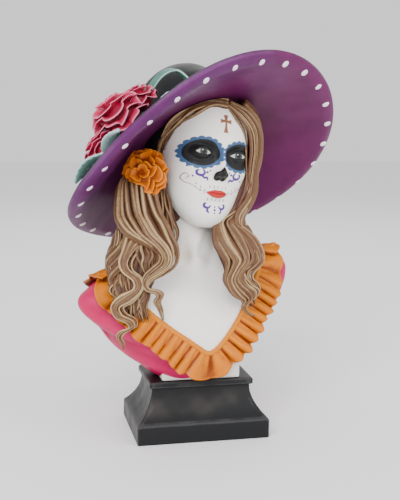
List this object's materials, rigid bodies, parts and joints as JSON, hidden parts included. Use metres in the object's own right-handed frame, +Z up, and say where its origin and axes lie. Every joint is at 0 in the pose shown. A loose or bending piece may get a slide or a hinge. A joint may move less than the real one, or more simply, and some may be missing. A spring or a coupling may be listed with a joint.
{
  "type": "day of the dead bust",
  "caption": "Painted resin bust of a woman with sugar skull face paint, a wide tipped hat with flowers, long wavy hair and a ruffled dress, on a black moulded plinth.",
  "frame": {"origin": "centre of the plinth's underside, on the shelf it stands on", "axes": "+Z up, the plinth's front faces -Y and its sides face +X and -X"},
  "size_m": [0.2201, 0.187, 0.2978],
  "materials": {
    "bust": "hand painted cast resin, satin",
    "plinth": "black painted cast resin, satin with worn edges"
  },
  "bodies": {
    "root": {"bust": "bust", "plinth": "plinth"}
  },
  "joints": []
}
